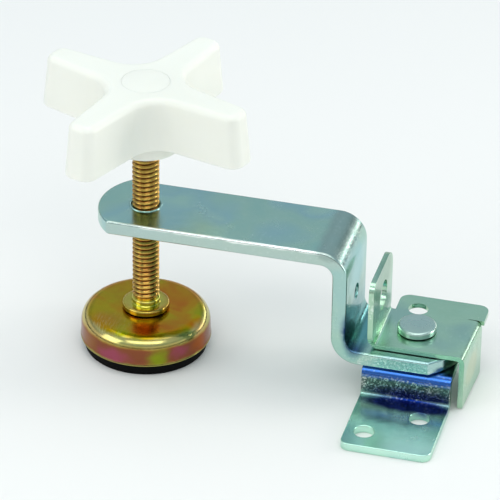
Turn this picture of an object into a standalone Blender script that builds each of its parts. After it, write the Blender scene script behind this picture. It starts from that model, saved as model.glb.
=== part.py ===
"""Swing-arm furniture levelling foot.

A white hand knob turns a threaded spindle through the free end of a Z-bent
steel arm.  The spindle stands on a rubber-padded steel cup, and the arm swings
on a rivet between two folded brackets that are screwed to the furniture.

Metres, +Z up.  The origin is the middle of the lower bracket's base plate, on
its underside, at floor level.  +X runs along the arm, from the foot to the
brackets, and -Y is the side that the base plate points to.
"""
import math

import bmesh
import bpy
from mathutils import Matrix

MM = 0.001

# Driving dimensions -----------------------------------------------------------
GAP = 0.3 * MM                 # between pieces that touch or slide on each other
ROUND_STEPS = 40               # facets round a hole, a pin or a turned piece
BEND_STEPS = 6                 # facets round a sheet-metal bend
CORNER_STEPS = 6               # facets round a sheet's cut corner
SHARP_ANGLE = math.radians(32.0)    # an edge that turns more than this is shaded as an edge

PIVOT = (0.0, 27.0 * MM)       # rivet axis in plan
SPINDLE = (-81.1 * MM, 26.2 * MM)   # spindle axis in plan

ARM_WIDTH = 25.4 * MM
ARM_SHEET = 4.3 * MM
ARM_TOP = 47.3 * MM            # height of the arm's upper face
ARM_SHELF_TOP = 15.95 * MM     # height of the shelf that the rivet goes through
ARM_RISER_X = -20.3 * MM       # middle of the riser's thickness
ARM_BEND_INNER = 3.7 * MM
ARM_END_REACH = 13.7 * MM      # from either hole to the end of the bar
ARM_END_RADIUS = 17.0 * MM     # the free end is cut to a shallow arc
ARM_CLIP_START = 6.5 * MM      # the shelf's corners are clipped, to pass the flange
ARM_CLIP = 3.0 * MM
ARM_HOLE_CHAMFER = 0.7 * MM
LOCK_HOLE = (27.0 * MM, 28.2 * MM)  # Y and Z of the riser's hole, in line with the tab's
LOCK_HOLE_RADIUS = 2.1 * MM

UPPER_SHEET = 1.5 * MM
UPPER_FRONT_Y = 16.6 * MM
UPPER_REAR_Y = 37.0 * MM       # where the two folds end
UPPER_BEND_INNER = 1.0 * MM
TAB_FACE_X = -10.2 * MM        # the tab's face on the rivet's side
TAB_FRONT_Y = 13.9 * MM
TAB_REAR_Y = 38.2 * MM
TAB_TOP = 38.5 * MM
TAB_FRONT_CORNER = 3.0 * MM
TAB_REAR_CORNER = 6.0 * MM
TAB_HOLE_RADIUS = 4.5 * MM
FLANGE_FACE_X = 16.3 * MM      # outer face of the flange, at its front edge
FLANGE_SPLAY = 0.9 * MM        # how much further out its rear edge stands
FLANGE_BOTTOM = 0.5 * MM
STRIP_LEFT_X = -8.6 * MM       # flat strip behind the folds
STRIP_RIGHT_X = 17.7 * MM
STRIP_REAR_Y = 45.85 * MM
STRIP_CORNER = 3.0 * MM
STRIP_LAP = 0.6 * MM           # how far it reaches in under the folds' rear ends
STRIP_RELIEF = 0.3 * MM        # slot between it and the flange's fold
STRIP_STEP = 0.03 * MM         # the strip is coined this much thinner on each side
STRIP_HOLE = (-2.2 * MM, 38.8 * MM)

LOWER_SHEET = 2.4 * MM
LOWER_WIDTH = 26.2 * MM
LOWER_FRONT_Y = -12.8 * MM
LOWER_WALL_Y = 13.7 * MM       # front face of the upright wall
LOWER_REAR_Y = 41.0 * MM
LOWER_BEND_INNER = 1.0 * MM
LOWER_CORNER = 2.6 * MM
BASE_HOLES = ((-7.5 * MM, -5.35 * MM), (6.2 * MM, 5.25 * MM))
SCREW_HOLE_RADIUS = 2.95 * MM

RIVET_SHANK_RADIUS = 3.5 * MM
RIVET_HEAD_RADIUS = 5.7 * MM
RIVET_HEAD_FACE = 5.3 * MM
RIVET_HEAD_HEIGHT = 2.1 * MM
RIVET_TAIL_RADIUS = 5.4 * MM
RIVET_TAIL_HEIGHT = 1.9 * MM
RIVET_TAIL_CROWN = 1.6 * MM    # how far the formed tail narrows towards its end
PIVOT_WASHER_RADIUS = 7.0 * MM
PIVOT_WASHER_THICK = 1.0 * MM

THREAD_RADIUS = 3.95 * MM      # over the crests
COLLAR_RADIUS = 6.9 * MM
COLLAR_TOP = 14.7 * MM
COLLAR_HEIGHT = 1.9 * MM
NECK_RADIUS = 4.15 * MM        # plain ring between the collar and the thread
NECK_TOP = 16.4 * MM
NECK_EDGE = 0.6 * MM
SPINDLE_EDGE = 0.5 * MM        # chamfers on the collar and on the thread's end
SPINDLE_TOP = 79.0 * MM
SHANK_RADIUS = 3.2 * MM        # plain length that goes through the cup
TAIL_RADIUS = 4.6 * MM         # swaged head inside the cup
TAIL_HEIGHT = 1.4 * MM

CUP_RIM_RADIUS = 19.25 * MM
CUP_WALL_RADIUS = 19.0 * MM    # where the wall meets the rounded shoulder
CUP_SHOULDER = 4.2 * MM
CUP_RIM_Z = 3.5 * MM
CUP_TOP = 12.5 * MM
CUP_SHEET = 1.5 * MM
FOOT_WASHER_RADIUS = 8.0 * MM
FOOT_WASHER_THICK = 1.2 * MM
PAD_FLOOR_RADIUS = 17.95 * MM
PAD_FLANGE_RADIUS = 18.6 * MM
PAD_TOP = 7.4 * MM
PAD_RECESS_RADIUS = 9.0 * MM   # hollow in the pad that clears the swaged tail
PAD_RECESS_FLOOR = 5.6 * MM
PAD_EDGE = 0.7 * MM

KNOB_TURN = math.radians(-19.0)    # direction of the first of the four arms
KNOB_TOP = 87.6 * MM
KNOB_ARM_BOTTOM = 71.4 * MM
KNOB_HUB_BOTTOM = 67.0 * MM
KNOB_HUB_RADIUS = 10.3 * MM
KNOB_REACH = 34.5 * MM         # centre to tip, at the bottom edge
KNOB_ROOT_HALF = 6.2 * MM      # half an arm's width, where it leaves the hub
KNOB_TIP_HALF = 5.0 * MM
KNOB_DRAFT = 0.7 * MM          # how much an arm narrows on each side going up
KNOB_TIP_DRAFT = 1.5 * MM      # how much shorter it is at the top
KNOB_EDGE = 2.1 * MM           # rounding of the top edges
KNOB_CORNER = 3.9 * MM
KNOB_INNER_FILLET = 9.0 * MM   # between neighbouring arms
KNOB_EDGE_STEPS = 5
KNOB_FOOT_EDGE = 0.5 * MM      # rounding of the lower edges and of the hub
HUB_TAPER = 0.5 * MM
CAP_RADIUS = 6.7 * MM
CAP_THICK = 2.0 * MM
CAP_EDGE = 0.3 * MM
INSERT_RADIUS = 6.0 * MM
INSERT_LIFT = 0.6 * MM         # above the hub's underside
SPINDLE_ROOM = 1.5 * MM        # left above the spindle's end

# Heights that follow from the stack at the rivet ------------------------------
ARM_SHELF_BOTTOM = ARM_SHELF_TOP - ARM_SHEET
UPPER_BOTTOM = ARM_SHELF_TOP + GAP
UPPER_TOP = UPPER_BOTTOM + UPPER_SHEET
LOWER_FLANGE_TOP = ARM_SHELF_BOTTOM - GAP
LOWER_FLANGE_BOTTOM = LOWER_FLANGE_TOP - LOWER_SHEET
PIVOT_WASHER_TOP = LOWER_FLANGE_BOTTOM - GAP
RIVET_TAIL_TOP = PIVOT_WASHER_TOP - PIVOT_WASHER_THICK - GAP
RIVET_HEAD_BOTTOM = UPPER_TOP + GAP
PIVOT_HOLE_RADIUS = RIVET_SHANK_RADIUS + GAP


# Shared modelling helpers -----------------------------------------------------
def clear_scene():
    for old in list(bpy.data.objects):
        bpy.data.objects.remove(old, do_unlink=True)


def finish_material(name, colour, roughness, metallic):
    material = bpy.data.materials.new(name)
    material.use_nodes = True
    shader = material.node_tree.nodes["Principled BSDF"]
    shader.inputs["Base Color"].default_value = (*colour, 1.0)
    shader.inputs["Roughness"].default_value = roughness
    shader.inputs["Metallic"].default_value = metallic
    return material


def add_object(name, bm, material=None):
    """Turn a bmesh into a smooth-shaded object with outward faces."""
    bmesh.ops.remove_doubles(bm, verts=bm.verts, dist=1e-7)
    bmesh.ops.recalc_face_normals(bm, faces=bm.faces)
    mesh = bpy.data.meshes.new(name)
    bm.to_mesh(mesh)
    bm.free()
    mesh.shade_smooth()
    mesh.set_sharp_from_angle(angle=SHARP_ANGLE)
    piece = bpy.data.objects.new(name, mesh)
    bpy.context.scene.collection.objects.link(piece)
    if material is not None:
        mesh.materials.append(material)
    return piece


def arc(centre, radius, start, end, steps):
    """Points along an arc, angles in degrees."""
    points = []
    for step in range(steps + 1):
        angle = math.radians(start + (end - start) * step / steps)
        points.append((centre[0] + radius * math.cos(angle), centre[1] + radius * math.sin(angle)))
    return points


def prism(name, outline, low, high, along="Z", material=None):
    """Extrude a flat outline: XY along Z, XZ along Y, or YZ along X."""
    place = {
        "Z": lambda a, b, depth: (a, b, depth),
        "Y": lambda a, b, depth: (a, depth, b),
        "X": lambda a, b, depth: (depth, a, b),
    }[along]
    bm = bmesh.new()
    base = bm.faces.new([bm.verts.new(place(a, b, low)) for a, b in outline])
    grown = bmesh.ops.extrude_face_region(bm, geom=[base])["geom"]
    far_verts = [item for item in grown if isinstance(item, bmesh.types.BMVert)]
    bmesh.ops.translate(bm, verts=far_verts, vec=place(0.0, 0.0, high - low))
    return add_object(name, bm, material)


def turned(name, profile, centre, material=None, closed=True):
    """Spin a (radius, height) profile round a vertical axis."""
    bm = bmesh.new()
    verts = [bm.verts.new((radius, 0.0, height)) for radius, height in profile]
    pairs = list(zip(verts, verts[1:]))
    if closed:
        pairs.append((verts[-1], verts[0]))
    edges = [bm.edges.new(pair) for pair in pairs]
    bmesh.ops.spin(bm, geom=verts + edges, cent=(0, 0, 0), axis=(0, 0, 1), angle=math.tau,
                   steps=ROUND_STEPS, use_merge=True)
    piece = add_object(name, bm, material)
    piece.location = (centre[0], centre[1], 0.0)
    return piece


def cylinder(name, centre, radius, low, high, along="Z"):
    """A plain cutter; centre is in the plane across its axis."""
    last = 360.0 - 360.0 / ROUND_STEPS
    return prism(name, arc(centre, radius, 0.0, last, ROUND_STEPS - 1), low, high, along)


def set_origin(piece, axis):
    """Put a piece's origin on a vertical axis without moving its shape."""
    piece.data.transform(Matrix.Translation((-axis[0], -axis[1], 0.0)))
    piece.location = (axis[0], axis[1], 0.0)


def combine(piece, other, operation):
    """Apply one exact Boolean and remove the tool."""
    modifier = piece.modifiers.new(operation.lower(), "BOOLEAN")
    modifier.operation = operation
    modifier.solver = "EXACT"
    modifier.object = other
    bpy.context.view_layer.update()
    evaluated = piece.evaluated_get(bpy.context.evaluated_depsgraph_get())
    result = bpy.data.meshes.new_from_object(evaluated)
    piece.modifiers.clear()
    result.name = piece.name
    piece.data = result
    bpy.data.objects.remove(other, do_unlink=True)
    piece.data.set_sharp_from_angle(angle=SHARP_ANGLE)
    return piece


def bent_outline(corners, sheet, inner_radius):
    """Closed outline of a bent sheet whose mid-surface follows the corners."""
    middle_radius = inner_radius + sheet / 2.0
    samples = []

    def unit(start, end):
        length = math.hypot(end[0] - start[0], end[1] - start[1])
        return ((end[0] - start[0]) / length, (end[1] - start[1]) / length)

    first = unit(corners[0], corners[1])
    samples.append((corners[0], (-first[1], first[0])))
    for before, corner, after in zip(corners, corners[1:], corners[2:]):
        come = unit(before, corner)
        leave = unit(corner, after)
        cross = come[0] * leave[1] - come[1] * leave[0]
        turn = math.atan2(cross, come[0] * leave[0] + come[1] * leave[1])
        side = math.copysign(1.0, turn)
        trim = middle_radius * math.tan(abs(turn) / 2.0)
        start = (corner[0] - come[0] * trim, corner[1] - come[1] * trim)
        normal = (-come[1], come[0])
        reach = side * middle_radius
        hub = (start[0] + normal[0] * reach, start[1] + normal[1] * reach)
        for step in range(BEND_STEPS + 1):
            angle = turn * step / BEND_STEPS
            spun = (normal[0] * math.cos(angle) - normal[1] * math.sin(angle),
                    normal[0] * math.sin(angle) + normal[1] * math.cos(angle))
            samples.append(((hub[0] - spun[0] * reach, hub[1] - spun[1] * reach), spun))
    last = unit(corners[-2], corners[-1])
    samples.append((corners[-1], (-last[1], last[0])))
    half = sheet / 2.0
    upper = [(p[0] + n[0] * half, p[1] + n[1] * half) for p, n in samples]
    lower = [(p[0] - n[0] * half, p[1] - n[1] * half) for p, n in samples]
    return upper + lower[::-1]


def washer(name, centre, outer, inner, low, high, material):
    profile = [(outer, high), (outer, low), (inner, low), (inner, high)]
    return turned(name, profile, centre, material)


# Finishes ---------------------------------------------------------------------
def finishes():
    return {
        "white_plastic": finish_material("white_plastic", (0.93, 0.93, 0.90), 0.38, 0.0),
        "blue_zinc": finish_material("blue_zinc", (0.42, 0.56, 0.55), 0.28, 1.0),
        "bracket_zinc": finish_material("bracket_zinc", (0.45, 0.58, 0.56), 0.30, 1.0),
        "base_zinc": finish_material("base_zinc", (0.40, 0.54, 0.55), 0.30, 1.0),
        "rivet_zinc": finish_material("rivet_zinc", (0.55, 0.62, 0.60), 0.33, 1.0),
        "yellow_zinc": finish_material("yellow_zinc", (0.56, 0.42, 0.12), 0.28, 1.0),
        "spindle_zinc": finish_material("spindle_zinc", (0.62, 0.46, 0.14), 0.30, 1.0),
        "black_rubber": finish_material("black_rubber", (0.02, 0.02, 0.02), 0.85, 0.0),
        "plain_steel": finish_material("plain_steel", (0.50, 0.50, 0.48), 0.40, 1.0),
    }


# Arm --------------------------------------------------------------------------
def arm_plan():
    """Plan outline of the bar: a shallow arc at the foot, clipped corners at the rivet."""
    middle = SPINDLE[1]
    half = ARM_WIDTH / 2.0
    arc_centre = SPINDLE[0] - ARM_END_REACH + ARM_END_RADIUS
    spread = math.degrees(math.asin(half / ARM_END_RADIUS))
    outline = arc((arc_centre, middle), ARM_END_RADIUS, 180.0 - spread, 180.0 + spread, 12)
    nose_x = ARM_CLIP_START + ARM_CLIP
    nose_half = half - ARM_CLIP
    nose_spread = math.degrees(math.atan2(nose_half, nose_x))
    outline.append((PIVOT[0] + ARM_CLIP_START, middle - half))
    outline += arc((PIVOT[0], middle), math.hypot(nose_x, nose_half), -nose_spread, nose_spread, 10)
    outline.append((PIVOT[0] + ARM_CLIP_START, middle + half))
    return outline


def build_arm(material):
    """Z-bent flat bar with the spindle's hole, the rivet's hole and the lock hole."""
    spare = 20 * MM                # the bar is bent long and wide, then trimmed
    top_middle = ARM_TOP - ARM_SHEET / 2.0
    shelf_middle = ARM_SHELF_TOP - ARM_SHEET / 2.0
    path = [(SPINDLE[0] - spare, top_middle), (ARM_RISER_X, top_middle),
            (ARM_RISER_X, shelf_middle), (PIVOT[0] + spare, shelf_middle)]
    side_view = bent_outline(path, ARM_SHEET, ARM_BEND_INNER)
    arm = prism("swing_arm", side_view, SPINDLE[1] - spare, SPINDLE[1] + spare, "Y", material)
    combine(arm, prism("plan", arm_plan(), -spare, ARM_TOP + spare), "INTERSECT")

    bore = THREAD_RADIUS + GAP
    above, below = ARM_TOP + ARM_HOLE_CHAMFER, ARM_TOP - ARM_HOLE_CHAMFER
    sink = [(0.0, above), (bore + 2 * ARM_HOLE_CHAMFER, above), (bore, below), (0.0, below)]
    low, high = ARM_SHELF_BOTTOM - MM, ARM_SHELF_TOP + MM
    riser_low, riser_high = ARM_RISER_X - ARM_SHEET, ARM_RISER_X + ARM_SHEET
    combine(arm, cylinder("thread_hole", SPINDLE, bore, high, above), "DIFFERENCE")
    combine(arm, turned("countersink", sink, SPINDLE, closed=False), "DIFFERENCE")
    combine(arm, cylinder("pivot_hole", PIVOT, PIVOT_HOLE_RADIUS, low, high), "DIFFERENCE")
    lock = cylinder("lock_hole", LOCK_HOLE, LOCK_HOLE_RADIUS, riser_low, riser_high, "X")
    combine(arm, lock, "DIFFERENCE")
    set_origin(arm, PIVOT)
    return arm


# Upper bracket ----------------------------------------------------------------
def tab_and_flange_side():
    """Side view of the folded sheet: level front edge, then up to the tab's round corners."""
    front, rear = TAB_FRONT_CORNER, TAB_REAR_CORNER
    outline = [(UPPER_FRONT_Y, -MM), (UPPER_FRONT_Y, UPPER_TOP - 0.2 * MM),
               (TAB_FRONT_Y + 0.7 * MM, UPPER_TOP + 1.8 * MM), (TAB_FRONT_Y, UPPER_TOP + 4.2 * MM)]
    outline += arc((TAB_FRONT_Y + front, TAB_TOP - front), front, 180.0, 90.0, CORNER_STEPS)
    outline += arc((TAB_REAR_Y - rear, TAB_TOP - rear), rear, 90.0, 0.0, CORNER_STEPS)
    outline += [(TAB_REAR_Y, UPPER_TOP + 1.4 * MM), (UPPER_REAR_Y, UPPER_TOP + 0.6 * MM),
                (UPPER_REAR_Y, -MM)]
    return outline[::-1]


def strip_plan():
    """Plan of the flat strip behind the folds, with its relief beside the flange's fold."""
    corner = STRIP_CORNER
    lap = UPPER_REAR_Y - STRIP_LAP
    relief = UPPER_REAR_Y + STRIP_RELIEF
    fold_x = FLANGE_FACE_X - UPPER_SHEET - UPPER_BEND_INNER - 0.7 * MM
    outline = [(STRIP_LEFT_X, lap), (fold_x, lap), (fold_x, relief), (STRIP_RIGHT_X, relief)]
    outline += arc((STRIP_RIGHT_X - corner, STRIP_REAR_Y - corner), corner, 0.0, 90.0, CORNER_STEPS)
    outline += arc((STRIP_LEFT_X + corner, STRIP_REAR_Y - corner), corner, 90.0, 180.0, CORNER_STEPS)
    return outline


def build_upper_bracket(material):
    """Tab folded up, flange folded down, and a flat strip along the back."""
    sheet = UPPER_SHEET
    spare = 2 * MM                 # the sheet is folded wide, then trimmed to its side view
    level = UPPER_BOTTOM + sheet / 2.0
    tab_x = TAB_FACE_X - sheet / 2.0
    flange_x = FLANGE_FACE_X - sheet / 2.0
    path = [(tab_x, TAB_TOP + spare), (tab_x, level), (flange_x, level), (flange_x, FLANGE_BOTTOM)]
    folded = bent_outline(path, sheet, UPPER_BEND_INNER)
    bracket = prism("upper_bracket", folded, TAB_FRONT_Y - spare, TAB_REAR_Y + spare, "Y", material)
    fold_start = flange_x - UPPER_BEND_INNER - sheet / 2.0 - 0.1 * MM
    for vertex in bracket.data.vertices:
        if vertex.co.x > fold_start:
            along = (vertex.co.y - UPPER_FRONT_Y) / (UPPER_REAR_Y - UPPER_FRONT_Y)
            vertex.co.x += FLANGE_SPLAY * along
    side_cut = prism("side_view", tab_and_flange_side(), -20 * MM, 25 * MM, "X")
    combine(bracket, side_cut, "INTERSECT")
    strip = prism("strip", strip_plan(), UPPER_BOTTOM + STRIP_STEP, UPPER_TOP - STRIP_STEP)
    combine(bracket, strip, "UNION")

    low, high = UPPER_BOTTOM - MM, UPPER_TOP + MM
    combine(bracket, cylinder("pivot_hole", PIVOT, PIVOT_HOLE_RADIUS, low, high), "DIFFERENCE")
    combine(bracket, cylinder("strip_hole", STRIP_HOLE, SCREW_HOLE_RADIUS, low, high), "DIFFERENCE")
    tab_low, tab_high = TAB_FACE_X - 2 * sheet, TAB_FACE_X + sheet
    tab_hole = cylinder("tab_hole", LOCK_HOLE, TAB_HOLE_RADIUS, tab_low, tab_high, "X")
    combine(bracket, tab_hole, "DIFFERENCE")
    return bracket


# Lower bracket ----------------------------------------------------------------
def build_lower_bracket(material):
    """Base plate, upright wall and upper flange, from one folded sheet."""
    sheet = LOWER_SHEET
    half = LOWER_WIDTH / 2.0
    wall = LOWER_WALL_Y + sheet / 2.0
    flange_middle = LOWER_FLANGE_TOP - sheet / 2.0
    path = [(LOWER_FRONT_Y, sheet / 2.0), (wall, sheet / 2.0), (wall, flange_middle),
            (LOWER_REAR_Y, flange_middle)]
    folded = bent_outline(path, sheet, LOWER_BEND_INNER)
    bracket = prism("lower_bracket", folded, -half, half, "X", material)

    corner = LOWER_CORNER
    front, rear = LOWER_FRONT_Y + corner, LOWER_REAR_Y - corner
    plan = arc((-half + corner, front), corner, 180.0, 270.0, CORNER_STEPS)
    plan += arc((half - corner, front), corner, 270.0, 360.0, CORNER_STEPS)
    plan += arc((half - corner, rear), corner, 0.0, 90.0, CORNER_STEPS)
    plan += arc((-half + corner, rear), corner, 90.0, 180.0, CORNER_STEPS)
    combine(bracket, prism("plan", plan, -sheet, LOWER_FLANGE_TOP + sheet), "INTERSECT")
    for number, centre in enumerate(BASE_HOLES):
        hole = cylinder("base_hole_%d" % number, centre, SCREW_HOLE_RADIUS, -MM, sheet + MM)
        combine(bracket, hole, "DIFFERENCE")
    low, high = LOWER_FLANGE_BOTTOM - MM, LOWER_FLANGE_TOP + MM
    combine(bracket, cylinder("pivot_hole", PIVOT, PIVOT_HOLE_RADIUS, low, high), "DIFFERENCE")
    return bracket


# Rivet and its washer ---------------------------------------------------------
def build_rivet(material):
    """Flat-headed rivet, its tail formed over a washer under the lower bracket."""
    bottom = RIVET_TAIL_TOP - RIVET_TAIL_HEIGHT
    head_top = RIVET_HEAD_BOTTOM + RIVET_HEAD_HEIGHT
    profile = [(0.0, head_top), (RIVET_HEAD_FACE, head_top), (RIVET_HEAD_RADIUS, head_top - 0.5 * MM),
               (RIVET_HEAD_RADIUS, RIVET_HEAD_BOTTOM), (RIVET_SHANK_RADIUS, RIVET_HEAD_BOTTOM),
               (RIVET_SHANK_RADIUS, RIVET_TAIL_TOP), (RIVET_TAIL_RADIUS, RIVET_TAIL_TOP),
               (RIVET_TAIL_RADIUS - 0.2 * MM, RIVET_TAIL_TOP - RIVET_TAIL_HEIGHT / 2.0),
               (RIVET_TAIL_RADIUS - RIVET_TAIL_CROWN, bottom), (0.0, bottom)]
    return turned("pivot_rivet", profile, PIVOT, material, closed=False)


def build_pivot_washer(material):
    bottom = PIVOT_WASHER_TOP - PIVOT_WASHER_THICK
    return washer("pivot_washer", PIVOT, PIVOT_WASHER_RADIUS, PIVOT_HOLE_RADIUS, bottom,
                  PIVOT_WASHER_TOP, material)


# Spindle ----------------------------------------------------------------------
def build_spindle(material):
    """Threaded spindle with its neck ring, collar and swaged tail."""
    tail_top = CUP_TOP - CUP_SHEET - GAP - FOOT_WASHER_THICK - GAP
    tail_bottom = tail_top - TAIL_HEIGHT
    collar_bottom = COLLAR_TOP - COLLAR_HEIGHT
    edge = SPINDLE_EDGE
    profile = [(0.0, SPINDLE_TOP), (THREAD_RADIUS - edge, SPINDLE_TOP),
               (THREAD_RADIUS, SPINDLE_TOP - edge)]
    profile += [(THREAD_RADIUS, NECK_TOP + NECK_EDGE), (NECK_RADIUS - NECK_EDGE, NECK_TOP),
                (NECK_RADIUS, NECK_TOP - NECK_EDGE), (NECK_RADIUS, COLLAR_TOP)]
    profile += [(COLLAR_RADIUS - edge, COLLAR_TOP), (COLLAR_RADIUS, COLLAR_TOP - edge),
                (COLLAR_RADIUS, collar_bottom + edge / 2.0), (COLLAR_RADIUS - edge / 2.0, collar_bottom)]
    profile += [(SHANK_RADIUS, collar_bottom), (SHANK_RADIUS, tail_top), (TAIL_RADIUS, tail_top),
                (TAIL_RADIUS - edge, tail_bottom), (0.0, tail_bottom)]
    return turned("spindle", profile, SPINDLE, material, closed=False)


# Foot -------------------------------------------------------------------------
def build_foot(cup_material, washer_material, rubber):
    """Pressed cup, the washer that holds it on the spindle, and the rubber pad."""
    hole = SHANK_RADIUS + GAP
    shoulder = (CUP_WALL_RADIUS - CUP_SHOULDER, CUP_TOP - CUP_SHOULDER)
    profile = [(hole, CUP_TOP)] + arc(shoulder, CUP_SHOULDER, 90.0, 0.0, BEND_STEPS + 1)
    profile += [(CUP_RIM_RADIUS, CUP_RIM_Z), (CUP_RIM_RADIUS - CUP_SHEET, CUP_RIM_Z)]
    profile += arc(shoulder, CUP_SHOULDER - CUP_SHEET, 0.0, 90.0, BEND_STEPS - 1)
    profile.append((hole, CUP_TOP - CUP_SHEET))
    turned("foot_cup", profile, SPINDLE, cup_material)

    washer_top = CUP_TOP - CUP_SHEET - GAP
    washer("foot_retaining_washer", SPINDLE, FOOT_WASHER_RADIUS, hole,
           washer_top - FOOT_WASHER_THICK, washer_top, washer_material)

    plug = CUP_WALL_RADIUS - CUP_SHEET - 2 * GAP
    lip = CUP_RIM_Z - GAP
    pad_profile = [(0.0, PAD_RECESS_FLOOR), (PAD_RECESS_RADIUS, PAD_RECESS_FLOOR),
                   (PAD_RECESS_RADIUS, PAD_TOP), (plug - PAD_EDGE, PAD_TOP), (plug, PAD_TOP - PAD_EDGE),
                   (plug, lip), (PAD_FLANGE_RADIUS, lip), (PAD_FLOOR_RADIUS + 0.1 * MM, PAD_EDGE),
                   (PAD_FLOOR_RADIUS - PAD_EDGE, 0.0), (0.0, 0.0)]
    turned("foot_pad", pad_profile, SPINDLE, rubber, closed=False)


# Knob -------------------------------------------------------------------------
def knob_outline(inset, reach):
    """Plan outline of the four-armed knob, moved inwards by inset."""
    root = KNOB_ROOT_HALF - inset
    tip = KNOB_TIP_HALF - inset
    corner = KNOB_CORNER - inset
    fillet = KNOB_INNER_FILLET + inset
    # one arm along +X, from the valley before it to the valley after it
    valley = root + fillet
    quarter = arc((valley, -valley), fillet, 135.0, 92.0, 6)
    quarter += arc((reach - corner, corner - tip), corner, -88.0, 0.0, 5)
    quarter += arc((reach - corner, tip - corner), corner, 0.0, 88.0, 5)
    quarter += arc((valley, valley), fillet, -92.0, -135.0, 6)[:-1]
    outline = []
    for arm in range(4):
        turn = KNOB_TURN + arm * math.pi / 2.0
        cosine, sine = math.cos(turn), math.sin(turn)
        outline += [(x * cosine - y * sine, x * sine + y * cosine) for x, y in quarter]
    return outline


def knob_levels():
    """Height, inset and reach of each outline, from the lower edge to the flat top."""
    straight_top = KNOB_TOP - KNOB_EDGE
    levels = [(KNOB_ARM_BOTTOM, KNOB_FOOT_EDGE, KNOB_REACH - KNOB_FOOT_EDGE),
              (KNOB_ARM_BOTTOM + KNOB_FOOT_EDGE, 0.0, KNOB_REACH)]
    for step in range(KNOB_EDGE_STEPS + 1):
        angle = math.radians(90.0 * step / KNOB_EDGE_STEPS)
        roll = KNOB_EDGE * (1.0 - math.cos(angle))
        height = straight_top + KNOB_EDGE * math.sin(angle)
        levels.append((height, KNOB_DRAFT + roll, KNOB_REACH - KNOB_TIP_DRAFT - roll))
    return levels


def build_knob(body_material, cap_material, insert_material):
    """Moulded body, the disc that closes its hub, and the threaded insert."""
    bm = bmesh.new()
    rings = []
    for height, inset, reach in knob_levels():
        rings.append([bm.verts.new((x, y, height)) for x, y in knob_outline(inset, reach)])
    count = len(rings[0])
    for below, above in zip(rings, rings[1:]):
        for index in range(count):
            after = (index + 1) % count
            bm.faces.new((below[index], below[after], above[after], above[index]))
    bm.faces.new(rings[0][::-1])
    bm.faces.new(rings[-1])
    body = add_object("knob_body", bm, body_material)
    body.location = (SPINDLE[0], SPINDLE[1], 0.0)

    edge = KNOB_FOOT_EDGE
    hub_top = KNOB_ARM_BOTTOM + 3 * MM
    hub = [(0.0, hub_top), (KNOB_HUB_RADIUS + HUB_TAPER, hub_top),
           (KNOB_HUB_RADIUS, KNOB_HUB_BOTTOM + edge), (KNOB_HUB_RADIUS - edge, KNOB_HUB_BOTTOM),
           (0.0, KNOB_HUB_BOTTOM)]
    combine(body, turned("hub", hub, SPINDLE, closed=False), "UNION")

    bore = THREAD_RADIUS + GAP
    cap_floor = KNOB_TOP - CAP_THICK
    insert_low = KNOB_HUB_BOTTOM + INSERT_LIFT
    insert_room = SPINDLE_TOP + SPINDLE_ROOM
    hollow = [(0.0, KNOB_TOP + MM), (CAP_RADIUS + GAP, KNOB_TOP + MM), (CAP_RADIUS + GAP, cap_floor - GAP),
              (bore, cap_floor - GAP), (bore, insert_room), (INSERT_RADIUS + GAP, insert_room),
              (INSERT_RADIUS + GAP, insert_low - GAP), (bore, insert_low - GAP),
              (bore, KNOB_HUB_BOTTOM - MM), (0.0, KNOB_HUB_BOTTOM - MM)]
    combine(body, turned("hollow", hollow, SPINDLE, closed=False), "DIFFERENCE")

    cap_profile = [(0.0, KNOB_TOP), (CAP_RADIUS - CAP_EDGE, KNOB_TOP), (CAP_RADIUS, KNOB_TOP - CAP_EDGE),
                   (CAP_RADIUS, cap_floor), (0.0, cap_floor)]
    turned("knob_cap", cap_profile, SPINDLE, cap_material, closed=False)
    washer("knob_insert", SPINDLE, INSERT_RADIUS, bore, insert_low, SPINDLE_TOP, insert_material)


# Assembly ---------------------------------------------------------------------
clear_scene()
finish = finishes()
build_lower_bracket(finish["base_zinc"])
build_upper_bracket(finish["bracket_zinc"])
build_rivet(finish["rivet_zinc"])
build_pivot_washer(finish["plain_steel"])
build_arm(finish["blue_zinc"])
build_foot(finish["yellow_zinc"], finish["plain_steel"], finish["black_rubber"])
build_spindle(finish["spindle_zinc"])
build_knob(finish["white_plastic"], finish["white_plastic"], finish["plain_steel"])
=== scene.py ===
"""A swing-arm furniture levelling foot, with its finished surfaces.

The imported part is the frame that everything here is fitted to.  The pieces
follow in the order in which the foot is put together: lower bracket, arm,
upper bracket, rivet, cup, pad, spindle, knob.  Lengths are in metres.
"""
import math

import bpy
from mathutils import Matrix, Quaternion, Vector


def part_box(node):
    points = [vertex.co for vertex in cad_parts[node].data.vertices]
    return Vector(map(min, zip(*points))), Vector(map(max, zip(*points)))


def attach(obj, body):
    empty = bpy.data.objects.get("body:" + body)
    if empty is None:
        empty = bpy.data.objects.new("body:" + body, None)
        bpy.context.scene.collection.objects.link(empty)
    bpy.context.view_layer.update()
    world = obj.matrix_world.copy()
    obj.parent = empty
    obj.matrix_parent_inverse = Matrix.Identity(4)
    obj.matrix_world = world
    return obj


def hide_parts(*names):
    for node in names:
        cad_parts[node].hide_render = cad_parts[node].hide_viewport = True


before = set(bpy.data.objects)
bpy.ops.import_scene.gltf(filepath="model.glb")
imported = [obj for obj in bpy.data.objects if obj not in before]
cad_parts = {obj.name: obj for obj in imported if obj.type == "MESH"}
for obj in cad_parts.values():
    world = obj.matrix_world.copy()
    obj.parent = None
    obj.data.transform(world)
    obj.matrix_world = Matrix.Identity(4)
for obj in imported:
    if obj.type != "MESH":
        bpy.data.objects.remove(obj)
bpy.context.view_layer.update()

# Lower bracket ----------------------------------------------------------------
# A strip of 2.4 mm mild steel, folded twice in a press: base plate, upright
# wall and the flange under the arm.  Two screw holes are punched in the plate.
# It is zinc plated and blue passivated, like all the pale sheet parts.
MM = 0.001
LOWER_SHEET = 2.4 * MM
LOWER_CORNER = 2.6 * MM
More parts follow.
